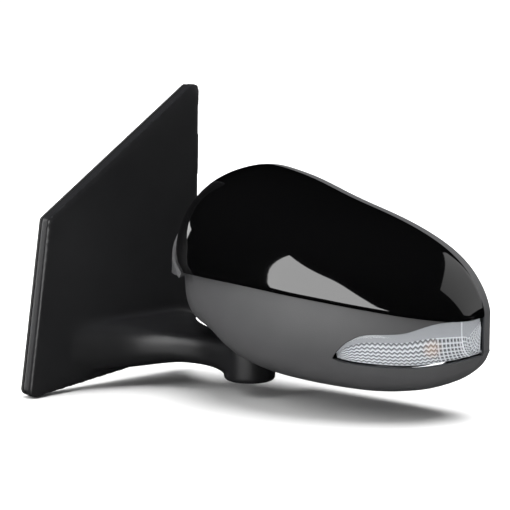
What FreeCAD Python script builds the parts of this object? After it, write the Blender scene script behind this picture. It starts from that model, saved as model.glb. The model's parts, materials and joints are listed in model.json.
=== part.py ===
import FreeCAD, Part
import math
import os
import re
from FreeCAD import Placement, Rotation, Vector

# Door-mounted side mirror of a small car, left-hand side, as an assembly of separate pieces.
#
# Row frame: +X points outboard, away from the door; +Y points rearward; +Z points up. The origin is
# the centre of the circle of mounting studs, on the face that seats against the door.
# Head frame: u runs outboard along the head, v rearward and w up. Its origin is on the fold axis at
# row height 0, and it is turned by the sweep angle about that axis, so that the head's outboard end
# trails. The head is drawn in its driving position.
# Rod frame: the glass tilts about two crossed pins at the tilt centre, just behind the glass.

doc = FreeCAD.newDocument("side_mirror")

# ---------------------------------------------------------------------------------------------
# driving dimensions, in millimetres and degrees
# ---------------------------------------------------------------------------------------------
SIZES = {
    # where the head stands
    "axis_x": 105, "axis_y": 52, "sweep_angle": 12,
    # head form
    "head_inboard": -50, "head_outboard": 182, "rear_plane": 54,
    "head_skin": 2.5, "shell_rear": 43.7, "bezel_front": 44, "panel_gap": 0.5,
    # sail and arm
    "sail_depth": 14, "cover_skin": 2.5, "gasket_depth": 2.5, "plate_depth": 4,
    "boss_radius": 20, "boss_top": -50, "boss_bottom": -81.5,
    # mounting studs and the harness socket
    "stud_circle": 55, "stud_radius": 3, "stud_length": 22, "shoulder_radius": 3.6, "pad_radius": 9,
    "pad_depth": 10,
    "socket_y": 14, "socket_z": 22, "socket_width": 28, "socket_height": 16,
    "socket_reach": 12, "socket_wall": 1.5, "pin_radius": 0.6,
    # pivot
    "post_radius": 9, "post_bore": 6, "post_foot": -60, "post_top": -6,
    "flange_radius": 15, "flange_depth": 4, "run_clear": 0.05, "fit_clear": 0.03, "bush_radius": 11,
    "detent_radius": 14.8, "detent_top": -51.3, "ball_track": 12.75, "ball_radius": 1.6,
    "ball_height": -51, "seat_radius": 16.8,
    # fold drive
    "floor_top": -46, "relief_top": -48, "relief_radius": 24.5, "sweep_clear_radius": 72,
    "spigot_radius": 14.5, "spigot_bottom": -50.8, "case_bottom": -41.5,
    "gearbox_radius": 20, "gearbox_wall": 2.5, "lug_radius": 3.6,
    "gear_bottom": -36, "gear_depth": 7, "gear_radius": 16, "disc_count": 5, "disc_pitch": 3,
    "retainer_depth": 3, "lid_depth": 2.5, "worm_radius": 5, "worm_half": 8, "mesh_gap": 0.15,
    "worm_height": -32.5, "shaft_radius": 1.5, "fold_motor_radius": 9, "fold_motor_length": 26,
    # glass adjuster
    "tilt_u": 72, "tilt_v": 30, "tilt_w": -5, "case_radius": 30, "case_front": 4,
    "case_wall": 2, "case_rear": 20, "lid_rear": 22.5, "rod_offset": 18, "rod_radius": 2.6,
    "rod_foot": 9.5, "rod_ball": 3.2, "wheel_radius": 8, "wheel_front": 11, "wheel_depth": 5,
    "ring_radius": 7, "ring_bore": 4.5, "ring_half": 2.5, "trunnion_radius": 1.5,
    "ear_near": 8.3, "ear_far": 10.8, "ear_half": 4,
    # glass
    "glass_radius": 1400, "glass_depth": 2, "glass_face": 42, "heater_depth": 0.5,
    "backing_depth": 3, "frame_gap": 3, "rim_skin": 0.8,
    # lamp
    "lens_depth": 2.8, "lamp_gap": 0.4, "reflector_inset": 8, "board_depth": 1.6,
}

dims = doc.addObject("Spreadsheet::Sheet", "dims")
for row, (name, value) in enumerate(SIZES.items(), start=1):
    dims.set(f"A{row}", name)
    dims.set(f"B{row}", str(value))
    dims.setAlias(f"B{row}", name)
doc.recompute()


def size(name):
    """A driving dimension, read from the sheet."""
    return float(dims.get(name))


def formula(text):
    """An expression on the sheet's cells: every name that is a size is read from the sheet."""
    return re.sub(r"[a-z_]+", lambda word: ("dims." if word.group(0) in SIZES else "") + word.group(0),
                  str(text))


def on_circle(radius, angle):
    """The two coordinates, as expressions, of a point on a circle about zero."""
    turn = math.radians(angle)
    return f"{radius} * {math.cos(turn):.6f}", f"{radius} * {math.sin(turn):.6f}"


ALONG_X = Rotation(Vector(0, 1, 0), 90)
ALONG_Y = Rotation(Vector(1, 0, 0), -90)
ALONG_Z = Rotation()
HEAD = Placement(
    Vector(size("axis_x"), size("axis_y"), 0), Rotation(Vector(0, 0, 1), size("sweep_angle"))
)
ROW = Placement()
nodes = []


# ---------------------------------------------------------------------------------------------
# document objects: primitives bound to the sheet, booleans, and shapes drawn in code
# ---------------------------------------------------------------------------------------------
def put(obj, at, turn=ALONG_Z):
    obj.Placement = Placement(Vector(), turn)
    for axis, text in zip("xyz", at):
        obj.setExpression(f"Placement.Base.{axis}", formula(text))
    return obj


def cylinder(radius, length, at, turn=ALONG_Z):
    obj = doc.addObject("Part::Cylinder", "cylinder")
    obj.setExpression("Radius", formula(radius))
    obj.setExpression("Height", formula(length))
    return put(obj, at, turn)


def box(length, width, height, at):
    obj = doc.addObject("Part::Box", "box")
    obj.setExpression("Length", formula(length))
    obj.setExpression("Width", formula(width))
    obj.setExpression("Height", formula(height))
    return put(obj, at)


def sphere(radius, at):
    obj = doc.addObject("Part::Sphere", "sphere")
    obj.setExpression("Radius", formula(radius))
    return put(obj, at)


def cone(low_radius, high_radius, height, at):
    obj = doc.addObject("Part::Cone", "cone")
    obj.setExpression("Radius1", formula(low_radius))
    obj.setExpression("Radius2", formula(high_radius))
    obj.setExpression("Height", formula(height))
    return put(obj, at)


def torus(major, minor, at):
    obj = doc.addObject("Part::Torus", "torus")
    obj.setExpression("Radius1", formula(major))
    obj.setExpression("Radius2", formula(minor))
    return put(obj, at)


def drawn(shape, name="form"):
    """A shape that code draws from the sheet's sizes."""
    obj = doc.addObject("Part::Feature", name)
    obj.Shape = shape
    return obj


def fuse(*parts):
    obj = doc.addObject("Part::MultiFuse", "fuse")
    obj.Shapes = list(parts)
    return obj


def cut(base, *tools):
    for tool in tools:
        obj = doc.addObject("Part::Cut", "cut")
        obj.Base = base
        obj.Tool = tool
        base = obj
    return base


def common(base, tool):
    obj = doc.addObject("Part::Common", "common")
    obj.Base = base
    obj.Tool = tool
    return obj


def group(*parts):
    obj = doc.addObject("Part::Compound", "group")
    obj.Links = list(parts)
    return obj


def node(name, obj, place=ROW):
    """Names a finished piece and puts it where it belongs in the row frame."""
    if obj.ExpressionEngine:
        obj = group(obj)
    obj.Label = name
    obj.Placement = place
    nodes.append(obj)
    return obj


# ---------------------------------------------------------------------------------------------
# curves
# ---------------------------------------------------------------------------------------------
def smooth(stations, x):
    """A monotone cubic through (x, y) stations, so that the curve never overshoots them."""
    xs = [station[0] for station in stations]
    ys = [station[1] for station in stations]
    steps = [b - a for a, b in zip(xs, xs[1:])]
    slopes = [(b - a) / step for a, b, step in zip(ys, ys[1:], steps)]
    tangents = [slopes[0]]
    for before, after in zip(slopes, slopes[1:]):
        turning = before * after <= 0
        tangents.append(0.0 if turning else 2 * before * after / (before + after))
    tangents.append(slopes[-1])
    i = max(k for k in range(len(steps)) if k == 0 or xs[k] <= x)
    step = steps[i]
    f = min(max((x - xs[i]) / step, 0.0), 1.0)
    return (
        ys[i] * (2 * f**3 - 3 * f**2 + 1)
        + tangents[i] * step * (f**3 - 2 * f**2 + f)
        + ys[i + 1] * (3 * f**2 - 2 * f**3)
        + tangents[i + 1] * step * (f**3 - f**2)
    )


def spline(points, closed=False):
    curve = Part.BSplineCurve()
    curve.interpolate(Points=points, PeriodicFlag=closed)
    return curve.toShape()


def inset(points, distance):
    """Moves the corners of a counter-clockwise outline inwards, square to the outline."""
    moved = []
    count = len(points)
    for i, (x, y) in enumerate(points):
        before = points[i - 1]
        after = points[(i + 1) % count]
        normals = []
        for (ax, ay), (bx, by) in ((before, (x, y)), ((x, y), after)):
            length = math.hypot(bx - ax, by - ay)
            normals.append((-(by - ay) / length, (bx - ax) / length))
        (nx, ny), (mx, my) = normals
        share = distance / (1 + nx * mx + ny * my)
        moved.append((x + (nx + mx) * share, y + (ny + my) * share))
    return moved


def rounded(points, radius, place):
    """A closed wire of straight sides and arcs; place turns a corner's two numbers into a point."""
    count = len(points)
    edges = []
    ends = []
    for i, (x, y) in enumerate(points):
        ax, ay = points[i - 1]
        bx, by = points[(i + 1) % count]
        la = math.hypot(ax - x, ay - y)
        lb = math.hypot(bx - x, by - y)
        ux, uy = (ax - x) / la, (ay - y) / la
        vx, vy = (bx - x) / lb, (by - y) / lb
        half = math.acos(max(-1, min(1, ux * vx + uy * vy))) / 2
        back = min(radius / math.tan(half), 0.45 * la, 0.45 * lb)
        reach = back / math.cos(half) - back * math.tan(half)
        mx, my = ux + vx, uy + vy
        ml = math.hypot(mx, my)
        first = place(x + ux * back, y + uy * back)
        middle = place(x + mx / ml * reach, y + my / ml * reach)
        last = place(x + vx * back, y + vy * back)
        ends.append((first, last))
        edges.append(Part.Arc(first, middle, last).toShape())
    for i in range(count):
        edges.append(Part.LineSegment(ends[i - 1][1], ends[i][0]).toShape())
    return Part.Wire(Part.__sortEdges__(edges))


def prism(wire, along):
    return Part.Face(wire).extrude(along)


# ---------------------------------------------------------------------------------------------
# head form: sections across the head, with a parting line where the cap meets the lower skin
# ---------------------------------------------------------------------------------------------
CREST = [(-50, 30), (-46, 62), (-36, 78), (-16, 81), (16, 76), (66, 60), (112, 46), (146, 31),
         (168, 14), (179, -4), (182, -14)]
KEEL = [(-50, -38), (-46, -43.5), (-36, -46.5), (-20, -48.5), (-8, -53), (6, -63), (22, -70),
        (50, -75), (112, -78), (146, -74), (168, -63), (179, -52), (182, -44)]
DEPTH = [(-50, 62), (-46, 84), (-36, 102), (-16, 112), (16, 116), (66, 113), (112, 99),
         (146, 80), (168, 60), (179, 42), (182, 28)]
LEDGE = [(-50, 12), (-36, 12), (-16, 9), (16, 4), (50, 1.5), (182, 1.5)]
SECTIONS = [-50, -49, -47, -43, -36, -26, -12, 4, 22, 45, 72, 98, 122, 142, 157, 168, 176, 180, 182]
UPPER_POWER = 2.4
LOWER_POWER = 3.2
CURVE_STEPS = 9
OPEN_END = 8  # how far a hollow runs past the edge that it opens


def parting(u):
    """Height of the cap's lower edge: it droops towards the outboard end."""
    return 6.6 - 0.035 * u - 0.00055 * u * u


def profile(u, inward, upper, lip):
    """The half section's front curve at u, from the rear plane to the parting line or the lip."""
    middle = parting(u) + lip
    if upper:
        reach = smooth(DEPTH, u) - inward
        rise = max(smooth(CREST, u) - inward - middle, 0.6)
        power = UPPER_POWER
    else:
        reach = smooth(DEPTH, u) - smooth(LEDGE, u) - inward
        rise = smooth(KEEL, u) + inward - middle
        power = LOWER_POWER
    points = []
    for i in range(CURVE_STEPS):
        turn = math.pi / 2 * i / (CURVE_STEPS - 1)
        v = size("rear_plane") - reach * math.sin(turn) ** (2 / power)
        w = middle + rise * max(math.cos(turn), 0) ** (2 / power)
        points.append((v, w))
    return points


def half_form(inward, upper, corners, lip=0):
    """A solid half of the head form. corners(u, front) closes each section, as (v, w) points."""
    first = size("head_inboard")
    last = size("head_outboard")
    shrink = (last - first - 2 * inward) / (last - first)
    wires = []
    for u in SECTIONS:
        at = first + inward + (u - first) * shrink
        points = profile(u, inward, upper, lip)
        front = points[-1]
        curve = [Vector(at, v, w) for v, w in points]
        edges = [spline(curve)]
        closing = [curve[-1]] + [Vector(at, v, w) for v, w in corners(u, front)] + [curve[0]]
        edges += [Part.LineSegment(a, b).toShape() for a, b in zip(closing, closing[1:])]
        wires.append(Part.Wire(edges))
    return Part.makeLoft(wires, True, True)


def upper_form(inward, extra_depth=0):
    """Upper half of the head, drawn inward of the surface; extra depth carries it below its edge."""
    def corners(u, front):
        rear = size("rear_plane")
        level = parting(u) - extra_depth
        return [(front[0], level), (rear, level)] if extra_depth else [(rear, level)]
    return half_form(inward, True, corners)


def upper_hollow():
    """Hollow of the upper half: it keeps a lip over the ledge and runs out below behind it."""
    skin = size("head_skin")

    def corners(u, front):
        rear = size("rear_plane")
        behind = rear - smooth(DEPTH, u) + smooth(LEDGE, u) + skin + 0.2
        below = parting(u) - OPEN_END
        return [(behind, front[1]), (behind, below), (rear, below)]
    return half_form(skin, True, corners, skin)


def lower_form(inward, extra_height=0):
    """Lower half of the head, drawn inward of the surface; extra height carries it above its edge."""
    def corners(u, front):
        rear = size("rear_plane")
        level = parting(u) + extra_height
        return [(front[0], level), (rear, level)] if extra_height else [(rear, level)]
    return half_form(inward, False, corners)


def slab(points, low, high):
    """A block whose outline is drawn in the u-w plane and which runs from low to high along v."""
    corners = [Vector(u, low, w) for u, w in points]
    return prism(Part.makePolygon(corners + corners[:1]), Vector(0, high - low, 0))


def outline_slab(points, low, high):
    """The same with a smooth closed outline."""
    wire = Part.Wire([spline([Vector(u, low, w) for u, w in points], True)])
    return prism(wire, Vector(0, high - low, 0))


def sector(radius, start, end, low, high):
    """A wedge of a disc about the fold axis, from start to end degrees."""
    disc = Part.makeCylinder(radius, high - low, Vector(0, 0, low), Vector(0, 0, 1), end - start)
    disc.rotate(Vector(), Vector(0, 0, 1), start)
    return disc


DEEP = -95  # below everything on the head
FRONT = -80  # in front of everything on the head
relief_top = size("relief_top")
floor_top = size("floor_top")
skin = size("head_skin")
gap = size("panel_gap")
shell_rear = size("shell_rear")
bezel_front = size("bezel_front")
rear_plane = size("rear_plane")

# The arm passes under the head at every fold angle, so the lower skin is cut back to a flat seat
# over the boss and over the arm's side.
SEAT_START = 64
SEAT_END = 267
arm_relief = sector(size("sweep_clear_radius"), SEAT_START, SEAT_END, DEEP, relief_top).fuse(
    Part.makeCylinder(size("relief_radius"), relief_top - DEEP, Vector(0, 0, DEEP)))
seat_body = sector(
    size("sweep_clear_radius") + skin, SEAT_START - 3, SEAT_END + 3, DEEP, floor_top
).fuse(Part.makeCylinder(size("relief_radius") + skin, floor_top - DEEP, Vector(0, 0, DEEP)))

# The cap stops short of the inboard side wall on a slanted plane through three points.
cap_low = Vector(-17, -57, 5)
cap_side = Vector(-45, 0, 50)
cap_rear = Vector(-30, 50, 73)
cap_normal = (cap_side - cap_low).cross(cap_rear - cap_low).normalize()


def beyond_cap(offset):
    """The half space on the inboard wall's side of the cap's slanted end."""
    block = Part.makeBox(400, 400, 400, Vector(-200, -200, 0))
    block.Placement = Placement(cap_low + cap_normal * offset, Rotation(Vector(0, 0, 1), cap_normal))
    return block


def ahead(v):
    """Everything in front of a plane across the head."""
    return Part.makeBox(400, v + 200, 400, Vector(-150, -200, -200))


# rear opening and glass, as (u, w) points counter-clockwise seen from the front
OPENING = [(-39, 2), (-33, -22), (-8, -36), (28, -44), (66, -61), (108, -66), (142, -60),
           (164, -46), (171, -24), (163, -2), (142, 17), (108, 33), (60, 47), (12, 61),
           (-20, 54), (-36, 32)]
# lamp outline on the lower skin: its tip, its upper edge out to the end, then its lower edge
LAMP = [(107, -43.5), (113, -46), (129, -48.5), (154, -50), (176, -47.5), (190, -45),
        (190, -16.5), (182, -16.5), (172, -16.8), (163, -20), (152, -24), (131, -25), (117, -32)]


def cap_shape():
    shell = upper_form(0).cut(upper_hollow())
    shell.translate(Vector(0, 0, gap))
    return shell.common(ahead(shell_rear)).cut(beyond_cap(-gap))


def housing_shape():
    hollow = lower_form(skin, OPEN_END).cut(seat_body)
    lower = lower_form(0).cut(hollow)
    wall = upper_form(0, 0.3).cut(upper_hollow()).common(beyond_cap(0))
    shell = lower.fuse(wall).common(ahead(shell_rear)).cut(arm_relief)
    lamp = slab(inset(LAMP, -size("lamp_gap")), FRONT, shell_rear)
    spigot = Part.makeCylinder(size("spigot_radius") + 0.4, 10, Vector(0, 0, relief_top - 4))
    return shell.cut(lamp).cut(spigot)


def bezel_shape():
    tunnel_depth = 24
    band = upper_form(0).fuse(lower_form(0)).cut(ahead(bezel_front))
    tunnel = outline_slab(inset(OPENING, -skin), rear_plane - tunnel_depth, rear_plane)
    opening = outline_slab(OPENING, rear_plane - tunnel_depth - 1, rear_plane + 1)
    hollow = upper_form(skin, 1).fuse(lower_form(skin, 1)).common(ahead(rear_plane - skin))
    hollow = hollow.cut(seat_body).cut(tunnel)
    return band.fuse(tunnel).cut(hollow).cut(opening).cut(arm_relief)


node("cap", drawn(cap_shape()), HEAD)
node("lower_housing", drawn(housing_shape()), HEAD)
node("rear_bezel", drawn(bezel_shape()), HEAD)

# ---------------------------------------------------------------------------------------------
# base: sail cover with its arm, bracket, gasket, studs, harness socket
# ---------------------------------------------------------------------------------------------
SAIL = [(-91, -93), (72, -74), (76.3, 146.7), (-70, 44)]  # (y, z)
# arm sections as (x, centre y, half width, centre z, half height)
ARM = [(12, 6, 66, -59.5, 20), (20, 16, 52, -60.5, 19), (34, 30, 34, -61.5, 15.5),
       (55, 40, 22, -61.5, 12.5), (80, 48, 18, -63, 12), (105, 52, 20, -65.75, 15.75)]
cover_skin = size("cover_skin")
axis_x = size("axis_x")
axis_y = size("axis_y")


def sail_block(inward, near, far):
    wire = rounded(inset(SAIL, inward), 5, lambda y, z: Vector(near, y, z))
    return prism(wire, Vector(far - near, 0, 0))


def arm_section(x, y, half_width, z, half_height):
    points = []
    for i in range(28):
        turn = 2 * math.pi * i / 28
        across = math.copysign(abs(math.cos(turn)) ** 0.5, math.cos(turn))
        up = math.copysign(abs(math.sin(turn)) ** 0.5, math.sin(turn))
        points.append(Vector(x, y + across * half_width, z + up * half_height))
    return Part.Wire([spline(points, True)])


def arm_block(inward, near):
    wires = []
    for x, y, half_width, z, half_height in ARM:
        wires.append(arm_section(max(x, near) if x > ARM[0][0] else near, y, half_width - inward, z,
                                 half_height - inward))
    return Part.makeLoft(wires, True, False)


def upright(radius, bottom, top):
    """A round post on the fold axis."""
    return Part.makeCylinder(radius, top - bottom, Vector(axis_x, axis_y, bottom))


SCREWS = [(-60, 25), (45, 100), (58, 30), (-72, -78)]  # cover screws, (y, z)
STUDS = [(size("stud_circle") * math.cos(math.radians(a)),
          size("stud_circle") * math.sin(math.radians(a))) for a in (90, 210, 330)]


def cover_shape():
    depth = size("sail_depth")
    sail = sail_block(0, size("gasket_depth"), depth)
    front = [edge for edge in sail.Edges if all(abs(p.X - depth) < 0.01 for p in edge.Vertexes)]
    sail = sail.makeFillet(2.5, front)
    top = size("boss_top")
    bottom = size("boss_bottom")
    radius = size("boss_radius")
    outer = sail.fuse(arm_block(0, 12)).fuse(upright(radius, bottom, top))
    hollow = sail_block(cover_skin, -1, depth - cover_skin).fuse(arm_block(cover_skin, 8))
    hollow = hollow.fuse(upright(radius - cover_skin, bottom + cover_skin, top - cover_skin))
    cover = outer.cut(hollow).cut(upright(size("flange_radius") + 0.3, top - 5, top + 1))
    for y, z in SCREWS:
        cover = cover.fuse(Part.makeCylinder(4.2, 8, Vector(4, y, z), Vector(1, 0, 0)))
    for y, z in SCREWS:
        cover = cover.cut(Part.makeCylinder(1.8, 7.7, Vector(3.5, y, z), Vector(1, 0, 0)))
    return cover


node("base_cover", drawn(cover_shape()))
node("base_gasket", drawn(
    sail_block(0.3, 0, size("gasket_depth")).cut(sail_block(8, -1, size("gasket_depth") + 1))))

bracket_solid = fuse(
    drawn(sail_block(8.3, 0, size("plate_depth"))),
    box(91, 16, 13, ("plate_depth", 40, -69)),
    cylinder("seat_radius", "post_foot + 78.9", ("axis_x", "axis_y", -78.9)),
    *[cylinder("pad_radius", "pad_depth", (0, y, z), ALONG_X) for y, z in STUDS],
)
bracket_cuts = [
    cylinder("flange_radius + 0.3", 20, ("axis_x", "axis_y", "post_foot")),
    cylinder(3.5, 100, (3, 48.5, -64), ALONG_X),
    cylinder("post_bore", 40, ("axis_x", "axis_y", -90)),
    box(20, "socket_width + 0.2", "socket_height + 0.2", (-5, "socket_y - 0.1", "socket_z - 0.1")),
]
for y, z in STUDS:
    bracket_cuts.append(cylinder("shoulder_radius + fit_clear", 20, (-1, y, z), ALONG_X))
for y, z in SCREWS:
    bracket_cuts.append(cylinder(1.8, 10, (-1, y, z), ALONG_X))
    bracket_cuts.append(cylinder(3.6, 4, (-1, y, z), ALONG_X))
POST_SCREWS = [(12 * math.cos(math.radians(a)), 12 * math.sin(math.radians(a))) for a in (0, 120, 240)]
for x, y in POST_SCREWS:
    bracket_cuts.append(cylinder(2.03, 40, (f"axis_x + {x}", f"axis_y + {y}", -90)))
    bracket_cuts.append(cylinder(3.3, 13.5, (f"axis_x + {x}", f"axis_y + {y}", -90)))
node("base_bracket", cut(bracket_solid, *bracket_cuts))

node("mount_studs", group(*[
    fuse(cylinder("stud_radius", "stud_length + 1", ("-stud_length", y, z), ALONG_X),
         cylinder("shoulder_radius", "pad_depth + 1", (0, y, z), ALONG_X),
         cylinder(5.5, 1.4, ("pad_depth", y, z), ALONG_X))
    for y, z in STUDS]))
node("cover_screws", group(*[
    fuse(cylinder(1.75, 9, (2, y, z), ALONG_X), cylinder(3.5, 2, (1, y, z), ALONG_X))
    for y, z in SCREWS]))

socket = cut(
    fuse(
        box("socket_reach + 8", "socket_width", "socket_height", ("-socket_reach", "socket_y", "socket_z")),
        box(1.5, "socket_width + 6", "socket_height + 6", ("plate_depth", "socket_y - 3", "socket_z - 3")),
    ),
    box("socket_reach", "socket_width - 2 * socket_wall", "socket_height - 2 * socket_wall",
        ("-socket_reach - 1", "socket_y + socket_wall", "socket_z + socket_wall")),
    box(8, "socket_width - 2 * socket_wall", "socket_height - 2 * socket_wall",
        (1, "socket_y + socket_wall", "socket_z + socket_wall")),
)
PINS = [(18.5 + 6.33 * column, 26.5 + 7 * line) for column in range(4) for line in range(2)]
node("harness_socket", cut(
    socket, *[cylinder("pin_radius + 0.02", 4, (-2, y, z), ALONG_X) for y, z in PINS]))
node("harness_pins", group(*[cylinder("pin_radius", 9, (-4, y, z), ALONG_X) for y, z in PINS]))

# ---------------------------------------------------------------------------------------------
# pivot: post, detent and spring stack, all fixed to the base
# ---------------------------------------------------------------------------------------------
AXIS = Placement(Vector(axis_x, axis_y, 0), Rotation())
post = cut(
    fuse(cylinder("post_radius", "post_top - post_foot", (0, 0, "post_foot")),
         cylinder("flange_radius", "flange_depth", (0, 0, "post_foot"))),
    cylinder("post_bore", 60, (0, 0, "post_foot - 1")),
    *[cylinder(2.03, 4.1, (x, y, "post_foot - 1")) for x, y in POST_SCREWS],
)
node("pivot_post", post, AXIS)
node("post_screws", group(*[
    fuse(cylinder(2, 20.5, (x, y, -77.7)), cylinder(3.2, 2.3, (x, y, -78.9))) for x, y in POST_SCREWS
]), AXIS)
node("detent_ring", cut(
    cylinder("detent_radius", "detent_top - post_foot - flange_depth", (0, 0, "post_foot + flange_depth")),
    cylinder("post_radius + 0.1", 20, (0, 0, "post_foot")),
    torus("ball_track", "ball_radius + 0.1", (0, 0, "ball_height")),
), AXIS)
node("arm_seal", cut(
    cylinder(19, 1.5, (0, 0, "boss_top")), cylinder(15.6, 4, (0, 0, "boss_top - 1"))), AXIS)
TEETH = 24
gear = cut(cylinder("gear_radius", "gear_depth", (0, 0, "gear_bottom")),
           cylinder("post_radius + fit_clear", 20, (0, 0, "gear_bottom - 5")))
node("post_gear", cut(gear, *[
    cylinder(0.9, 20, (*on_circle("(gear_radius + 0.1)", 360 / TEETH * i), "gear_bottom - 5"))
    for i in range(TEETH)]), AXIS)
discs = []
for i in range(int(size("disc_count"))):
    foot = f"gear_bottom + gear_depth + disc_pitch * {i}"
    ends = (13.5, 10.2) if i % 2 == 0 else (10.2, 13.5)
    shift = -1.1 if i % 2 == 0 else 1.1
    discs.append(cut(
        cone(*ends, "disc_pitch - 0.1", (0, 0, foot)),
        cone(*ends, "disc_pitch - 0.1", (0, 0, f"{foot} + {shift}")),
        cylinder("post_radius + 0.1", 10, (0, 0, f"{foot} - 2"))))
node("disc_springs", group(*discs), AXIS)
stack_top = "gear_bottom + gear_depth + disc_pitch * disc_count"
node("post_retainer", cut(
    cylinder(13, "retainer_depth", (0, 0, stack_top)),
    cylinder("post_radius + fit_clear", 10, (0, 0, f"{stack_top} - 2"))), AXIS)

# ---------------------------------------------------------------------------------------------
# fold drive, fixed to the head and turning about the post
# ---------------------------------------------------------------------------------------------
LUGS = [(21 * math.cos(math.radians(a)), 21 * math.sin(math.radians(a))) for a in (60, 120, 240, 300)]
BALLS = [(*on_circle("ball_track", a), "ball_height") for a in (90, 210, 330)]
worm_u = "(gear_radius + mesh_gap + worm_radius)"
housing_solid = fuse(
    cylinder("spigot_radius", "case_bottom - spigot_bottom + 1", (0, 0, "spigot_bottom")),
    cylinder("gearbox_radius", "-case_bottom", (0, 0, "case_bottom")),
    box(29.5, 29.2, 17, (0, -16.2, -41)),
    *[cylinder("lug_radius", 8, (u, v, -8)) for u, v in LUGS],
)
node("fold_housing", cut(
    housing_solid,
    cylinder("gearbox_radius - gearbox_wall", 60, (0, 0, "case_bottom + 2")),
    box(27, 20.6, 12, (0, -10.3, -38.5)),
    cylinder("bush_radius + fit_clear", 24, (0, 0, -60)),
    cylinder("shaft_radius + 0.06", 40, (worm_u, -20, "worm_height"), ALONG_Y),
    *[sphere("ball_radius + 0.05", at) for at in BALLS],
    *[cylinder(1.53, 9, (u, v, -7)) for u, v in LUGS],
), HEAD)
node("fold_cover", cut(
    fuse(cylinder("gearbox_radius", "lid_depth", (0, 0, 0)),
         *[cylinder("lug_radius", "lid_depth", (u, v, 0)) for u, v in LUGS]),
    cylinder(7, 10, (0, 0, -3)),
    *[cylinder(1.53, 10, (u, v, -3)) for u, v in LUGS],
), HEAD)
node("pivot_bush", cut(
    cylinder("bush_radius", 10.3, (0, 0, -50.3)),
    cylinder("post_radius + run_clear", 30, (0, 0, -60)),
), HEAD)
node("detent_balls", group(*[sphere("ball_radius", at) for at in BALLS]), HEAD)
node("fold_screws", group(*[
    fuse(cylinder(1.5, 12, (u, v, -6.5)), cylinder(2.9, 1.8, (u, v, 5.05))) for u, v in LUGS
]), HEAD)
node("fold_motor", fuse(
    cylinder("fold_motor_radius", "fold_motor_length",
             (worm_u, "-16.25 - fold_motor_length", "worm_height"), ALONG_Y),
    cylinder(3, 2, (worm_u, "-18.25 - fold_motor_length", "worm_height"), ALONG_Y),
), HEAD)
rings = [cylinder("worm_radius", 1.2, (worm_u, f"-worm_half + {0.4 + 2.2 * i}", "worm_height"), ALONG_Y)
         for i in range(7)]
node("worm_shaft", fuse(
    cylinder("worm_radius - 1.2", "2 * worm_half", (worm_u, "-worm_half", "worm_height"), ALONG_Y),
    cylinder("shaft_radius", 29, (worm_u, -16.2, "worm_height"), ALONG_Y),
    *rings,
), HEAD)


def carrier_shape():
    plate = slab([(-44, -45.5), (108, -45.5), (108, 62), (-44, 62)], 0, 4)
    form = upper_form(skin + 0.4, 1).fuse(lower_form(skin + 0.4, 1)).removeSplitter()
    plate = plate.common(form)
    for points in ([(-21, -60), (31, -60), (31, 2.5), (-21, 2.5)],
                   [(-34, 12), (-8, 12), (-8, 50), (-34, 50)],
                   [(2, 12), (36, 12), (36, 50), (2, 50)],
                   [(54, 34), (84, 34), (80, 42), (54, 46)]):
        plate = plate.cut(slab(points, -1, 5))
    return plate.fuse(Part.makeBox(45.5, 45.4, 2.5, Vector(-14.5, -24, 2.5)))


tilt_u = size("tilt_u")
tilt_w = size("tilt_w")
CASE_SCREWS = [(tilt_u + 25 * math.cos(math.radians(a)), tilt_w + 25 * math.sin(math.radians(a)))
               for a in (50, 150, 225, 320)]
node("carrier_frame", cut(
    drawn(carrier_shape()),
    cylinder(7, 10, (0, 0, 0)),
    *[cylinder(1.53, 10, (u, v, 0)) for u, v in LUGS],
    *[cylinder(1.43, 10, (u, -2, w), ALONG_Y) for u, w in CASE_SCREWS],
), HEAD)

# ---------------------------------------------------------------------------------------------
# glass adjuster: case, lid, motors, and the two rods that push the glass
# ---------------------------------------------------------------------------------------------
tilt_rod_at = ("tilt_u", "tilt_w - rod_offset")
pan_rod_at = ("tilt_u + rod_offset", "tilt_w")


def round_along_v(radius, front, rear, at):
    u, w = at
    return cylinder(radius, f"{rear} - ({front})", (u, front, w), ALONG_Y)


case_solid = cut(
    round_along_v("case_radius", "case_front", "case_rear", ("tilt_u", "tilt_w")),
    round_along_v("case_radius - case_wall", "case_front + case_wall", "case_rear + 5",
                  ("tilt_u", "tilt_w")),
)
wheel_rear = "wheel_front + wheel_depth"
bosses = []
for at in (tilt_rod_at, pan_rod_at):
    bosses.append(cut(round_along_v(5.5, "case_front + case_wall - 1", "wheel_front - run_clear", at),
                      round_along_v("rod_radius + 0.3", "case_front + case_wall", 30, at)))
node("adjuster_case", cut(
    fuse(case_solid, *bosses),
    *[cylinder(1.43, 4, (u, 3, w), ALONG_Y) for u, w in CASE_SCREWS],
), HEAD)
node("adjuster_screws", group(*[
    fuse(cylinder(1.4, 6, (u, 0.5, w), ALONG_Y), cylinder(2.6, 1.8, (u, 6.03, w), ALONG_Y))
    for u, w in CASE_SCREWS]), HEAD)
lid_solid = fuse(
    round_along_v("case_radius", "case_rear", "lid_rear", ("tilt_u", "tilt_w")),
    *[round_along_v(5.5, f"{wheel_rear} + run_clear", "lid_rear", at) for at in (tilt_rod_at, pan_rod_at)],
    *[box("ear_far - ear_near", 12, "2 * ear_half", (f"tilt_u {edge}", "lid_rear - 1", "tilt_w - ear_half"))
      for edge in ("+ ear_near", "- ear_far")],
)
node("adjuster_lid", cut(
    lid_solid,
    *[round_along_v("rod_radius + 0.06", 5, 30, at) for at in (tilt_rod_at, pan_rod_at)],
    cylinder("trunnion_radius + run_clear", 40, ("tilt_u - 20", "tilt_v", "tilt_w"), ALONG_X),
), HEAD)
motor_v = "wheel_front + wheel_depth / 2"
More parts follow.
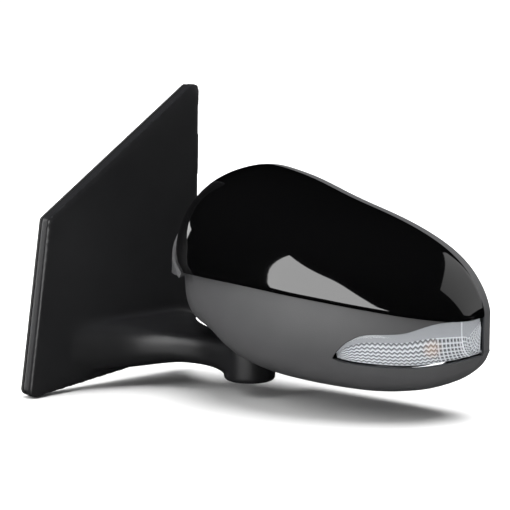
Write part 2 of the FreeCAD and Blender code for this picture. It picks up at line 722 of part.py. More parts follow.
node("adjuster_motors", group(
    fuse(cylinder(6, 12.5, ("tilt_u - wheel_radius - 2.1", motor_v, "tilt_w - 9.5")),
         cylinder(2, 14, ("tilt_u - wheel_radius - 2.1", motor_v, "tilt_w - 23"))),
    fuse(cylinder(6, 12.5, ("tilt_u - 3.5", motor_v, "tilt_w + wheel_radius + 2.1"), ALONG_X),
         cylinder(2, 14, ("tilt_u + 9", motor_v, "tilt_w + wheel_radius + 2.1"), ALONG_X)),
), HEAD)
for name, at in (("tilt", tilt_rod_at), ("pan", pan_rod_at)):
    u, w = at
    node(f"{name}_rod", fuse(
        round_along_v("rod_radius", "rod_foot", "tilt_v + 3", at),
        sphere("rod_ball", (u, "tilt_v + 3", w)),
    ), HEAD)
    node(f"{name}_wheel", cut(
        round_along_v("wheel_radius", "wheel_front", wheel_rear, at),
        round_along_v("rod_radius + 0.06", 5, 30, at),
        *[cylinder(0.5, 20, (f"{u} + {across}", 5, f"{w} + {up}"), ALONG_Y)
          for across, up in [on_circle("(wheel_radius + 0.05)", 18 * i) for i in range(20)]],
    ), HEAD)
node("gimbal_ring", fuse(
    cut(round_along_v("ring_radius", "tilt_v - ring_half", "tilt_v + ring_half", ("tilt_u", "tilt_w")),
        round_along_v("ring_bore", "tilt_v - 5", "tilt_v + 5", ("tilt_u", "tilt_w"))),
    *[cylinder("trunnion_radius", 4.5, (f"tilt_u + {start}", "tilt_v", "tilt_w"), ALONG_X)
      for start in (6, -10.5)],
    *[cylinder("trunnion_radius", 4.5, ("tilt_u", "tilt_v", f"tilt_w + {start}")) for start in (6, -10.5)],
), HEAD)

# ---------------------------------------------------------------------------------------------
# glass
# ---------------------------------------------------------------------------------------------
glass_radius = size("glass_radius")
glass_depth = size("glass_depth")
heater_back = glass_depth + size("heater_depth")
backing_back = heater_back + size("backing_depth")
frame_gap = size("frame_gap")
rim = size("rim_skin")


def dome(depth):
    """The ball whose cap lies depth below the glass face."""
    centre = Vector(tilt_u, size("glass_face") - glass_radius, tilt_w)
    return Part.makeSphere(glass_radius - depth, centre)


def glass_slab(inward):
    return outline_slab(inset(OPENING, inward), 25, 60)


def backing_shape():
    body = glass_slab(frame_gap).common(dome(0.2)).cut(dome(backing_back))
    pocket = glass_slab(frame_gap + rim).cut(dome(heater_back))
    body = body.cut(pocket)
    top = size("glass_face") - heater_back - 1
    for side in (-1, 1):
        near = tilt_w + side * size("ear_near")
        far = tilt_w + side * size("ear_far")
        half = size("ear_half")
        foot = size("tilt_v") - 3.5
        body = body.fuse(Part.makeBox(2 * half, top - foot, abs(far - near),
                                      Vector(tilt_u - half, foot, min(near, far))))
    seats = [(tilt_u, tilt_w - size("rod_offset")), (tilt_u + size("rod_offset"), tilt_w)]
    for u, w in seats:
        body = body.fuse(Part.makeCylinder(5.4, top - 31, Vector(u, 31, w), Vector(0, 1, 0)))
    for u, w in seats:
        body = body.cut(Part.makeCylinder(4.1, 6.6, Vector(u, 30, w), Vector(0, 1, 0)))
    return body


node("glass_backing", cut(
    drawn(backing_shape()),
    cylinder("trunnion_radius + run_clear", 40, ("tilt_u", "tilt_v", "tilt_w - 20")),
), HEAD)
node("heater_pad", drawn(
    glass_slab(frame_gap + rim + 0.8).common(dome(glass_depth + 0.04)).cut(dome(heater_back - 0.04))), HEAD)
node("mirror_glass", drawn(
    glass_slab(frame_gap + rim + 0.1).common(dome(0)).cut(dome(glass_depth))), HEAD)

# ---------------------------------------------------------------------------------------------
# turn-signal lamp in the lower skin
# ---------------------------------------------------------------------------------------------
# the tray's outline, inside the lamp's own
TRAY = [(118, -45), (154, -47), (176, -44.5), (190, -42), (190, -20), (172, -20.5), (150, -28),
        (131, -29), (121, -33)]
# the tray's flat back: along it, up, and square out of it
LAMP_BACK = Placement(Vector(118, -22, 0), Rotation(Vector(0.777, 0.629, 0), Vector(0, 0, 1),
                                                    Vector(0.629, -0.777, 0), "XZY"))
LAMP_PLACE = HEAD.multiply(LAMP_BACK)


def before_back(offset):
    """Everything on the lens side of a plane parallel to the tray's back."""
    block = Part.makeBox(200, 200, 100, Vector(-60, -120, offset))
    block.Placement = LAMP_BACK
    return block


def tray_shape():
    outer = slab(TRAY, FRONT, shell_rear).common(lower_form(size("lens_depth") + 0.3))
    inner = slab(inset(TRAY, 1.6), FRONT - 1, shell_rear).common(before_back(1.6))
    return outer.common(before_back(0)).cut(inner)


LEDS = [15 + 7 * i for i in range(6)]


def reflector_shape():
    depth = size("reflector_inset")
    inside = slab(inset(TRAY, 1.8), FRONT, shell_rear).common(before_back(4))
    shell = inside.common(lower_form(depth)).cut(lower_form(depth + 1.2))
    for along in LEDS:
        hole = Part.makeCylinder(2.6, 60, Vector(along, -38.2, 0), Vector(0, 0, 1))
        hole.Placement = LAMP_BACK
        shell = shell.cut(hole)
    return shell


def lens_shape():
    lens = lower_form(0).common(slab(LAMP, FRONT, shell_rear))
    return lens.cut(lower_form(size("lens_depth"), OPEN_END))


node("lamp_lens", drawn(lens_shape()), HEAD)
node("lamp_housing", drawn(tray_shape()), HEAD)
node("lamp_reflector", drawn(reflector_shape()), HEAD)
BOARD_SCREWS = [18.5, 46.5]
node("lamp_board", cut(
    box(41, 9.4, "board_depth", (12, -43, 1.63)),
    *[cylinder(0.95, 8, (along, -38.2, 0)) for along in BOARD_SCREWS],
), LAMP_PLACE)
node("lamp_leds", group(*[
    box(3.4, 3.4, 1.2, (along - 1.7, -39.9, "board_depth + 1.65")) for along in LEDS]), LAMP_PLACE)

# ---------------------------------------------------------------------------------------------
# checks and export
# ---------------------------------------------------------------------------------------------
doc.recompute()
for obj in doc.Objects:
    if "Invalid" in obj.State or "Error" in obj.State:
        raise RuntimeError(f"{obj.Name} did not build: {obj.State}")
os.makedirs("parts", exist_ok=True)
for obj in nodes:
    if obj.Shape.isNull() or not obj.Shape.isValid():
        raise RuntimeError(f"{obj.Label} has no valid shape")
    obj.Shape.exportStep(f"parts/{obj.Label}.step")
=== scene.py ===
import json
import math

import bmesh
import bpy
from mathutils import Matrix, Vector, kdtree


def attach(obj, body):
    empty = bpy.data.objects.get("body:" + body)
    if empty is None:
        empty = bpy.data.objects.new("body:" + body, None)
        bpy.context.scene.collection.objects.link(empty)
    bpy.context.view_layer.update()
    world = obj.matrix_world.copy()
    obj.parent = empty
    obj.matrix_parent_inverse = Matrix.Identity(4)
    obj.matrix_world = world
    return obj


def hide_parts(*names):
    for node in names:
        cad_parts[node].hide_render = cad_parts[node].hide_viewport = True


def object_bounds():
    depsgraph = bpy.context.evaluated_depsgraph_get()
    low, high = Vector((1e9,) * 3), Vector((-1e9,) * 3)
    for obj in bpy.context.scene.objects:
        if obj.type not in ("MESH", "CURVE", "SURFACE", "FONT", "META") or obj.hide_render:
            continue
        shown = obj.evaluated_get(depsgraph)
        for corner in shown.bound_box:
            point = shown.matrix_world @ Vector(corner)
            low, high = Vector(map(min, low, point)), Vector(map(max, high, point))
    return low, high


# Door-mounted side mirror: the visible shells are rebuilt here as smooth meshes over the CAD frame.
# Shapes are written in millimetres in the head's own directions (u outboard, v rearward, w up from
# the fold axis) and turned into metres in the row frame by head().

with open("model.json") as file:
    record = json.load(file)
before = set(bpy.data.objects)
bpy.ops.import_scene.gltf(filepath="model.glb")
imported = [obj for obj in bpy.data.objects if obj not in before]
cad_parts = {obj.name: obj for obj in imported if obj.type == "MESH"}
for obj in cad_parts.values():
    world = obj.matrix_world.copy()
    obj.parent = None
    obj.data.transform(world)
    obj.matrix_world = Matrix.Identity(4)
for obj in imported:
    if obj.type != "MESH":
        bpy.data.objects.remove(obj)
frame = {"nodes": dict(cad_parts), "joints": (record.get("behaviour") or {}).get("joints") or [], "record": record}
cad_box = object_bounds()
joints = {joint["name"]: joint for joint in frame["joints"]}
MM = 0.001
FOLD_AXIS = Vector(joints["fold"]["pos_m"])
U_DIR = Vector(joints["glass_tilt"]["axis"]).normalized()
W_DIR = Vector((0, 0, 1))
V_DIR = W_DIR.cross(U_DIR)
TILT_CENTRE = Vector(joints["glass_tilt"]["pos_m"])


def head(u, v, w):
    """A point of the head, from millimetres along its own directions."""
    return FOLD_AXIS + (U_DIR * u + V_DIR * v + W_DIR * w) * MM


def row(x, y, z):
    """A point of the row frame, from millimetres."""
    return Vector((x, y, z)) * MM


def by_axis(x, y, z):
    """A point of the row frame, from millimetres beside the fold axis."""
    return FOLD_AXIS + row(x, y, z)


# ---------------------------------------------------------------------------------------------
# curves
# ---------------------------------------------------------------------------------------------
def smooth(stations, x):
    """A monotone cubic through (x, y) stations."""
    xs = [station[0] for station in stations]
    ys = [station[1] for station in stations]
    steps = [b - a for a, b in zip(xs, xs[1:])]
    slopes = [(b - a) / step for a, b, step in zip(ys, ys[1:], steps)]
    tangents = [slopes[0]]
    for before, after in zip(slopes, slopes[1:]):
        tangents.append(0.0 if before * after <= 0 else 2 * before * after / (before + after))
    tangents.append(slopes[-1])
    i = max(k for k in range(len(steps)) if k == 0 or xs[k] <= x)
    step = steps[i]
    f = min(max((x - xs[i]) / step, 0.0), 1.0)
    return (ys[i] * (2 * f**3 - 3 * f**2 + 1) + tangents[i] * step * (f**3 - 2 * f**2 + f)
            + ys[i + 1] * (3 * f**2 - 2 * f**3) + tangents[i + 1] * step * (f**3 - f**2))


def fair(stations, span=9.0, step=0.5):
    """The same curve with its curvature evened out, sampled finely; it keeps both ends."""
    low, high = stations[0][0], stations[-1][0]
    count = int(round((high - low) / step))
    raw = [smooth(stations, low + step * i) for i in range(count + 1)]
    for _ in range(2):
        flatter = []
        for i in range(count + 1):
            reach = int(min(span / step, 0.8 * i, 0.8 * (count - i)))
            weights = [reach + 1 - abs(k) for k in range(-reach, reach + 1)]
            total = sum(wt * raw[i + k] for wt, k in zip(weights, range(-reach, reach + 1)))
            flatter.append(total / sum(weights))
        raw = flatter

    def value(x):
        place = min(max((x - low) / step, 0), count)
        i = min(int(place), count - 1)
        return raw[i] + (raw[i + 1] - raw[i]) * (place - i)
    return value


def around(radius, angle):
    return radius * math.cos(angle), radius * math.sin(angle)


def circle(radius, count):
    return [around(radius, 2 * math.pi * k / count) for k in range(count)]


def round_spline(points, per_side):
    """A closed smooth curve through 2-D points."""
    out = []
    count = len(points)
    for i in range(count):
        p0, p1, p2, p3 = (Vector(points[(i + k) % count]) for k in (-1, 0, 1, 2))
        for k in range(per_side):
            t = k / per_side
            out.append(0.5 * (2 * p1 + (p2 - p0) * t + (2 * p0 - 5 * p1 + 4 * p2 - p3) * t * t
                              + (3 * p1 - p0 - 3 * p2 + p3) * t**3))
    return out


def inset(points, distance):
    """Moves the corners of a counter-clockwise outline inwards, square to the outline."""
    moved = []
    count = len(points)
    for i, point in enumerate(points):
        here = Vector(point)
        before = (here - Vector(points[i - 1])).normalized()
        after = (Vector(points[(i + 1) % count]) - here).normalized()
        inward = Vector((-before.y, before.x))
        next_inward = Vector((-after.y, after.x))
        moved.append(tuple(here + (inward + next_inward) * (distance / (1 + inward.dot(next_inward)))))
    return moved


def polar(loop, centre, count):
    """Where rays from the centre cross a closed loop of 2-D points, one ray per equal angle."""
    found = []
    size = len(loop)
    for k in range(count):
        angle = 2 * math.pi * k / count
        ray = Vector(around(1, angle))
        best = 0
        for i in range(size):
            a = loop[i] - centre
            side = loop[(i + 1) % size] - loop[i]
            bottom = ray.x * side.y - ray.y * side.x
            if abs(bottom) < 1e-9:
                continue
            along = (a.x * side.y - a.y * side.x) / bottom
            share = (a.x * ray.y - a.y * ray.x) / bottom
            if -1e-6 <= share <= 1 + 1e-6 and along > best:
                best = along
        found.append(centre + ray * best)
    return found


# ---------------------------------------------------------------------------------------------
# head form, the same stations as the CAD
# ---------------------------------------------------------------------------------------------
INBOARD, OUTBOARD, REAR = -50, 182, 54
SHELL_REAR, BEZEL_FRONT = 43.7, 44.0
crest = fair([(-50, 30), (-46, 62), (-36, 78), (-16, 81), (16, 76), (66, 60), (112, 46), (146, 31),
              (168, 14), (179, -4), (182, -14)])
keel = fair([(-50, -38), (-46, -43.5), (-36, -46.5), (-20, -48.5), (-8, -53), (6, -63), (22, -70),
             (50, -75), (112, -78), (146, -74), (168, -63), (179, -52), (182, -44)])
depth = fair([(-50, 62), (-46, 84), (-36, 102), (-16, 112), (16, 116), (66, 113), (112, 99),
              (146, 80), (168, 60), (179, 42), (182, 28)])
ledge = fair([(-50, 12), (-36, 12), (-16, 9), (16, 4), (50, 1.5), (182, 1.5)])
POWER = {True: 2.4, False: 3.2}  # of the section's rounding, above and below the parting line
HALF_TURN = math.pi / 2


def parting(u):
    return 6.6 - 0.035 * u - 0.00055 * u * u


def reach_of(u, upper):
    return depth(u) - (0 if upper else ledge(u))


def on_shell(u, turn, upper, scale=1.0, inward=0.0):
    """(v, w) on the head's surface: turn runs from 0 at the rear plane to a quarter at the parting line."""
    power = POWER[upper]
    reach = reach_of(u, upper) * scale - inward
    middle = parting(u)
    rise = ((crest(u) if upper else keel(u)) - middle) * scale
    rise -= math.copysign(inward, rise)
    v = REAR - reach * max(math.sin(turn), 0) ** (2 / power)
    w = middle + rise * max(math.cos(turn), 0) ** (2 / power)
    return v, w


def turn_at_rear(u, upper, scale=1.0):
    """The turn at which the surface reaches the shells' rear edge."""
    power = POWER[upper]
    share = min((REAR - SHELL_REAR) / (reach_of(u, upper) * scale), 1.0)
    return math.asin(share ** (power / 2))


def turn_at_height(u, w):
    """The turn of the lower surface at a height."""
    middle = parting(u)
    share = min(max((w - middle) / (keel(u) - middle), 0.0), 1.0)
    return math.acos(share ** (POWER[False] / 2))


def spaced(count, low, high):
    """Values from low to high, closer together at both ends."""
    return [low + (high - low) * (1 - math.cos(math.pi * k / count)) / 2 for k in range(count + 1)]


# ---------------------------------------------------------------------------------------------
# mesh helpers
# ---------------------------------------------------------------------------------------------
def obj_from(name, grids, faces=()):
    """One object from grids of points (lists of equal rows); each grid says whether it closes."""
    mesh = bmesh.new()
    for points, closed in grids:
        rows = [[mesh.verts.new(p) for p in line] for line in points]
        for a, b in zip(rows, rows[1:]):
            last = len(a) if closed else len(a) - 1
            for i in range(last):
                j = (i + 1) % len(a)
                mesh.faces.new((a[i], a[j], b[j], b[i]))
    for points in faces:
        mesh.faces.new([mesh.verts.new(p) for p in points])
    bmesh.ops.remove_doubles(mesh, verts=mesh.verts, dist=2e-5)
    bmesh.ops.dissolve_degenerate(mesh, edges=mesh.edges, dist=1e-5)
    bmesh.ops.recalc_face_normals(mesh, faces=mesh.faces)
    data = bpy.data.meshes.new(name)
    mesh.to_mesh(data)
    mesh.free()
    made = bpy.data.objects.new(name, data)
    bpy.context.scene.collection.objects.link(made)
    return made


def face_away(piece, centre):
    """Turns an open skin so that its faces look away from a point."""
    total = sum((f.center - centre).dot(f.normal) * f.area for f in piece.data.polygons)
    if total < 0:
        piece.data.flip_normals()


def modify(piece, kind, **settings):
    modifier = piece.modifiers.new(kind.lower(), kind)
    for key, value in settings.items():
        setattr(modifier, key, value)
    return modifier


def apply_all(piece):
    evaluated = piece.evaluated_get(bpy.context.evaluated_depsgraph_get())
    data = bpy.data.meshes.new_from_object(evaluated)
    piece.modifiers.clear()
    piece.data = data
    return piece


def boolean(piece, tool, operation):
    modify(piece, "BOOLEAN", object=tool, operation=operation, solver="EXACT")
    apply_all(piece)


def discard(*pieces):
    for piece in pieces:
        bpy.data.objects.remove(piece, do_unlink=True)


def join(target, *others):
    """Adds the other objects' meshes to the target."""
    mesh = bmesh.new()
    for piece in (target, *others):
        mesh.from_mesh(piece.data)
    mesh.to_mesh(target.data)
    mesh.free()
    discard(*others)


def mend(piece):
    """Merges stray corners and fills any small hole that a merge or a boolean left."""
    mesh = bmesh.new()
    mesh.from_mesh(piece.data)
    bmesh.ops.remove_doubles(mesh, verts=mesh.verts, dist=2e-6)
    crowded = [edge for edge in mesh.edges if len(edge.link_faces) > 2]
    extra = {min(edge.link_faces, key=lambda face: face.calc_area()) for edge in crowded}
    bmesh.ops.delete(mesh, geom=list(extra), context="FACES")
    bmesh.ops.holes_fill(mesh, edges=[edge for edge in mesh.edges if len(edge.link_faces) == 1], sides=0)
    bmesh.ops.recalc_face_normals(mesh, faces=mesh.faces)
    mesh.to_mesh(piece.data)
    mesh.free()


def shade(piece, angle):
    """Smooth shading that keeps edges sharper than the angle, in degrees."""
    mesh = bmesh.new()
    mesh.from_mesh(piece.data)
    for face in mesh.faces:
        face.smooth = True
    for edge in mesh.edges:
        edge.smooth = len(edge.link_faces) == 2 and edge.calc_face_angle(0) < math.radians(angle)
    mesh.to_mesh(piece.data)
    mesh.free()


def prism(name, outline, low, high, place):
    """A closed block from a 2-D outline; place turns (a, b, level) into a point."""
    bottom = [place(a, b, low) for a, b in outline]
    top = [place(a, b, high) for a, b in outline]
    return obj_from(name, [([bottom, top], True)], [bottom, top])


def skinned(piece, thickness, centre):
    face_away(piece, centre)
    modify(piece, "SOLIDIFY", thickness=thickness * MM, offset=-1, use_even_offset=True)
    apply_all(piece)


# ---------------------------------------------------------------------------------------------
# cap and lower shell
# ---------------------------------------------------------------------------------------------
HEAD_MIDDLE = head(60, 20, -5)
SKIN = 2.2
END_SCALES = [1, 0.97, 0.85, 0.68, 0.52, 0.4]  # the sections that round off the head's two ends
SHARES = [k / 26 for k in range(27)]  # places round the upper section, from the rear to the parting line
COLUMNS = 96
GAP = 0.5  # between the cap and the shell

# cap's slanted inboard end
CAP_LOW, CAP_SIDE, CAP_REAR = Vector((-17, -57, 5)), Vector((-45, 0, 50)), Vector((-30, 50, 73))
CAP_NORMAL = (CAP_SIDE - CAP_LOW).cross(CAP_REAR - CAP_LOW).normalized()


def cap_start(share, offset):
    """Where the cap's slanted end crosses a surface line, share running from the rear to the parting."""
    low, high = INBOARD + 0.5, 80.0
    for _ in range(40):
        u = (low + high) / 2
        first = turn_at_rear(u, True)
        v, w = on_shell(u, first + (HALF_TURN - first) * share, True)
        if (Vector((u, v, w)) - CAP_LOW).dot(CAP_NORMAL) > offset:
            low = u
        else:
            high = u
    return (low + high) / 2


def surface_point(u, share, upper, scale=1.0, lift=0.0):
    first = turn_at_rear(u, upper, scale)
    v, w = on_shell(u, first + (HALF_TURN - first) * share, upper, scale)
    return head(u, v, w + lift)


def build_cap():
    starts = [cap_start(share, -GAP) for share in SHARES]
    lines = []
    for k in range(COLUMNS + 1):
        part = math.sin(math.pi / 2 * k / COLUMNS) * 0.6 + 0.4 * k / COLUMNS
        line = []
        for share, start in zip(SHARES, starts):
            u = start + (OUTBOARD - start) * part
            line.append(surface_point(u, share, True, lift=GAP))
        u = starts[-1] + (OUTBOARD - starts[-1]) * part
        front = REAR - reach_of(u, True)
        for reach in (0.4, 1):
            line.append(head(u, front + (ledge(u) + 3) * reach, parting(u) + GAP))
        lines.append(line)
    for scale in END_SCALES[1:]:
        line = [surface_point(OUTBOARD, share, True, scale, GAP) for share in SHARES]
        lines.append(line + [line[-1], line[-1]])
    piece = obj_from("cap_skin", [(lines, False)])
    skinned(piece, SKIN, HEAD_MIDDLE)
    modify(piece, "BEVEL", width=0.5 * MM, segments=2, limit_method="ANGLE", angle_limit=math.radians(50))
    apply_all(piece)
    shade(piece, 40)
    return piece


# lamp edges on the lower skin
LAMP_TIP = 107
lamp_upper = fair([(107, -43.5), (117, -32), (131, -25), (152, -24), (163, -20), (172, -16.8),
                   (182, -16.5)], span=4)
lamp_lower = fair([(107, -43.5), (113, -46), (129, -48.5), (154, -50), (176, -47.5), (182, -46)], span=4)
LAMP_SHARE = 0.539  # how far down the lower skin the lamp's tip lies
LAMP_GAP = 0.4  # between the lamp's cover and the shell
ABOVE_END, BELOW_END = 173, 181.6  # where the skin above and below the lamp stops


def lamp_columns(first, count):
    """Stations from a first one to the outboard end, closer together there."""
    return [first + (OUTBOARD - first) * math.sin(math.pi / 2 * k / count) for k in range(count + 1)]


def lamp_turns(u, clearance):
    """The turns of the lamp's two edges at u, or one shared turn inboard of its tip."""
    if u <= LAMP_TIP:
        turn = turn_at_height(u, parting(u) + LAMP_SHARE * (keel(u) - parting(u)))
        return turn, turn
    upper = min(lamp_upper(u) + clearance, parting(u))
    return turn_at_height(u, upper), turn_at_height(u, lamp_lower(u) - clearance)


def lower_lines(columns, first_of, last_of, count, scale=1.0):
    lines = []
    for u in columns:
        first, last = first_of(u), last_of(u)
        line = []
        for k in range(count + 1):
            v, w = on_shell(u, first + (last - first) * k / count, False, scale)
            line.append(head(u, v, w))
        lines.append(line)
    return lines


RELIEF_BOSS, RELIEF_ARM = 24.5, 72  # radii about the fold axis, round the boss and over the arm
RELIEF_FROM, RELIEF_TO = math.radians(64), math.radians(267)
RELIEF_TOP, RELIEF_BOTTOM = -48, -95
SEAT_TOP, SEAT_BOTTOM = -46, -94
POST_HOLE = 14.9


def relief(name, wall, top, bottom):
    """The space that the arm and its boss sweep under the head, grown by a wall, as a closed block."""
    outline = []
    for k in range(41):
        angle = RELIEF_FROM + (RELIEF_TO - RELIEF_FROM) * k / 40
        outline.append(around(RELIEF_ARM + wall, angle))
    for k in range(1, 30):
        angle = RELIEF_TO + (2 * math.pi + RELIEF_FROM - RELIEF_TO) * k / 30
        outline.append(around(RELIEF_BOSS + wall, angle))
    return prism(name, outline, bottom, top, head)


def build_lower():
    """The lower skin round the lamp, with the side wall above it, inboard of the cap's end."""
    columns = spaced(70, INBOARD, LAMP_TIP) + lamp_columns(LAMP_TIP, 60)[1:]
    above = lower_lines([u for u in columns if u <= ABOVE_END], lambda u: HALF_TURN,
                        lambda u: lamp_turns(u, LAMP_GAP)[0], 10)
    below = lower_lines([u for u in columns if u <= BELOW_END], lambda u: lamp_turns(u, LAMP_GAP)[1],
                        lambda u: min(turn_at_rear(u, False), lamp_turns(u, LAMP_GAP)[1]), 14)
    end = [lower_lines([INBOARD], lambda u: HALF_TURN, lambda u: turn_at_rear(u, False, scale), 24, scale)[0]
           for scale in END_SCALES]
    end[0] = above[0] + below[0][1:]
    starts = [cap_start(share, 0) for share in SHARES]
    wall, under = [], []
    for k in range(25):
        part = (k / 24) ** 1.6
        wall.append([surface_point(INBOARD + (start - INBOARD) * part, share, True)
                     for share, start in zip(SHARES, starts)])
        u = INBOARD + (starts[-1] - INBOARD) * part
        front = REAR - reach_of(u, True)
        under.append([head(u, front + ledge(u) * reach, parting(u)) for reach in (0, 0.5, 1)])
    cap_end = [[surface_point(INBOARD, share, True, scale) for share in SHARES] for scale in END_SCALES]
    closing = end[-1] + list(reversed(cap_end[-1]))
    grids = [(grid, False) for grid in (above, below, end, wall, under, cap_end)]
    piece = obj_from("lower_shell", grids, [closing])
    skinned(piece, SKIN, HEAD_MIDDLE)
    return piece


def cut_relief(piece):
    space = relief("relief", 0, RELIEF_TOP, RELIEF_BOTTOM)
    boolean(piece, space, "DIFFERENCE")
    discard(space)


def build_seat():
    """The flat seat over the boss and the arm's path."""
    columns = spaced(40, INBOARD + 1, 110)
    lines = []
    for u in columns:
        line = []
        for k in range(25):
            v, w = on_shell(u, HALF_TURN * (1 - k / 24), False, 1.0, 0.8)
            line.append(head(u, v, w))
        line.append(head(u, REAR - 11, parting(u)))
        lines.append(line)
    body = obj_from("seat", [(lines, True)], [lines[0], lines[-1]])
    outer = relief("outer", SKIN, SEAT_TOP, SEAT_BOTTOM)
    boolean(outer, body, "INTERSECT")
    space = relief("space", 0, RELIEF_TOP, RELIEF_BOTTOM)
    hole = prism("hole", circle(POST_HOLE, 64), -60, -40, head)
    boolean(outer, space, "DIFFERENCE")
    boolean(outer, hole, "DIFFERENCE")
    discard(body, space, hole)
    return outer


# ---------------------------------------------------------------------------------------------
# rear bezel and glass
# ---------------------------------------------------------------------------------------------
OPENING = [(-39, 2), (-33, -22), (-8, -36), (28, -44), (66, -61), (108, -66), (142, -60),
           (164, -46), (171, -24), (163, -2), (142, 17), (108, 33), (60, 47), (12, 61),
           (-20, 54), (-36, 32)]
FACE_CENTRE = Vector((62, -5))
RAYS = 300
RIM_ROUND, LIP_ROUND = 2.5, 3  # of the bezel's rear face, outside and at the opening
BEZEL_SKIN = 1.6


def form_loop(v):
    """The head's outline in a plane across it, as (u, w) points."""
    def height(u, upper):
        power = POWER[upper]
        share = min((REAR - v) / reach_of(u, upper), 1.0)
        middle = parting(u)
        return middle + ((crest(u) if upper else keel(u)) - middle) * (1 - share**power) ** (1 / power)
    columns = spaced(120, INBOARD, OUTBOARD)
    loop = [Vector((u, height(u, False))) for u in columns]
    loop += [Vector((u, height(u, True))) for u in reversed(columns)]
    return loop


def shrunk(loop, distance):
    """A dense closed loop moved inwards along its smoothed normals."""
    count = len(loop)
    out = []
    for i in range(count):
        along = loop[(i + 2) % count] - loop[i - 2]
        out.append(loop[i] + Vector((-along.y, along.x)).normalized() * distance)
    return out


def build_bezel():
    """The rim round the glass: from its front edge over the rear face and into the opening."""
    edge_at = REAR - RIM_ROUND
    lines = [(v, polar(form_loop(v), FACE_CENTRE, RAYS)) for v in (BEZEL_FRONT, 46, 48, 50, edge_at)]
    edge = lines[-1][1]
    opening = polar(round_spline(OPENING, 8), FACE_CENTRE, RAYS)
    quarter = [math.pi / 2 * k / 5 for k in range(1, 6)]
    for angle in quarter:
        lines.append((edge_at + RIM_ROUND * math.sin(angle), shrunk(edge, RIM_ROUND * (1 - math.cos(angle)))))
    inner_edge = [p + (p - FACE_CENTRE).normalized() * LIP_ROUND for p in opening]
    last = lines[-1][1]
    for share in (0.5, 1.0):
        lines.append((REAR, [a.lerp(b, share) for a, b in zip(last, inner_edge)]))
    for angle in quarter:
        lines.append((REAR - LIP_ROUND * (1 - math.cos(angle)),
                      [a.lerp(b, math.sin(angle)) for a, b in zip(inner_edge, opening)]))
    for v in (46, 40, 34, 30):
        lines.append((v, opening))
    points = [[head(p.x, v, p.y) for p in loop] for v, loop in lines]
    piece = obj_from("bezel_skin", [(points, True)])
    rearward = sum(f.normal.dot(V_DIR) * f.area for f in piece.data.polygons)
    if rearward < 0:
        piece.data.flip_normals()
    modify(piece, "SOLIDIFY", thickness=BEZEL_SKIN * MM, offset=-1)
    apply_all(piece)
    cut_relief(piece)
    shade(piece, 35)
    return piece


GLASS_RADIUS, GLASS_DEPTH, GLASS_FACE = 1400, 2.0, 42
GLASS_INSET = 3.9
GLASS_BEVEL, GLASS_BEVEL_DEPTH = 0.5, 0.4


def build_glass():
    """The convex glass, in rings about the middle of its face, with a small bevel."""
    outline = polar(round_spline(inset(OPENING, GLASS_INSET), 8), FACE_CENTRE, RAYS)
    centre_u = (TILT_CENTRE - FOLD_AXIS).dot(U_DIR) / MM
    centre_w = TILT_CENTRE.z / MM

    def dome(p, sunk):
        flat = (p.x - centre_u) ** 2 + (p.y - centre_w) ** 2
        return GLASS_FACE - GLASS_RADIUS + math.sqrt((GLASS_RADIUS - sunk) ** 2 - flat)

    lines = [[FACE_CENTRE.lerp(p, k / 24) for p in outline] for k in range(1, 24)]
    rings = [[head(p.x, dome(p, 0), p.y) for p in line] for line in lines]
    rim = [FACE_CENTRE + (p - FACE_CENTRE) * (1 - GLASS_BEVEL / (p - FACE_CENTRE).length)
           for p in outline]
    rings.append([head(p.x, dome(p, 0), p.y) for p in rim])
    rings.append([head(p.x, dome(p, GLASS_BEVEL_DEPTH), p.y) for p in outline])
    rings.append([head(p.x, dome(p, GLASS_DEPTH), p.y) for p in outline])
    for line in reversed(lines):
        rings.append([head(p.x, dome(p, GLASS_DEPTH), p.y) for p in line])
    piece = obj_from("glass_pane", [(rings, True)], [rings[0], rings[-1]])
    face_away(piece, head(62, 40, -5))
    shade(piece, 30)
    return piece


# ---------------------------------------------------------------------------------------------
# turn-signal lamp: a clear cover over prisms
# ---------------------------------------------------------------------------------------------
LAMP_ROWS = 12


def build_lens():
    columns = lamp_columns(LAMP_TIP + 0.2, 70)
    lines = lower_lines(columns, lambda u: lamp_turns(u, 0)[0], lambda u: lamp_turns(u, 0)[1], LAMP_ROWS)
    for scale in END_SCALES[1:]:
        lines += lower_lines([OUTBOARD], lambda u: lamp_turns(u, 0)[0],
                             lambda u: turn_at_rear(u, False, scale), LAMP_ROWS, scale)
    piece = obj_from("lens_cover", [(lines, False)])
    skinned(piece, 2.0, HEAD_MIDDLE)
    modify(piece, "BEVEL", width=0.35 * MM, segments=2, limit_method="ANGLE", angle_limit=math.radians(50))
    apply_all(piece)
    shade(piece, 40)
    return piece


OPTICS_FROM = LAMP_TIP + 3
OPTICS_END = 0.44  # the scale of the end section where the optics stop
GRID_AT, DIVIDER_AT = 74, 98  # along the optics, in millimetres from their inboard end
DIVIDER_HALF = 0.7
BARS, ZIGZAG, GRID_PITCH, END_PITCH = 7.5, 3.9, 3.3, 2.6
FLANGE, LOWER_EDGE = 0.2, 0.97  # shares of the lamp's height, between which the prisms lie
OPTICS_COLUMNS, OPTICS_ROWS = 380, 80
FRONT_SUNK, RIDGE_RISE, BACK_SUNK = 3.3, 0.9, 4.2  # depths under the lamp's outer surface


def ridge_height(along, share):
    """How far the optics stand up, 0 to 1, at a place on the lamp: zigzag bars, then a square grid; the optics'
    material also paints shade and highlight from it.
    """
    if abs(along - DIVIDER_AT) < DIVIDER_HALF:
        return 0.85
    if share < FLANGE or share > LOWER_EDGE:
        return 0.42
    rows = (share - FLANGE) * BARS
    if along < GRID_AT:
        zigzag = abs((along / ZIGZAG) % 1 - 0.5) * 0.9
        return abs((rows + zigzag) % 1 - 0.5) * 2
    pitch = GRID_PITCH if along < DIVIDER_AT else END_PITCH
    return max(abs((along / pitch) % 1 - 0.5) * 2, abs(rows * GRID_PITCH / pitch % 1 - 0.5) * 2) ** 2


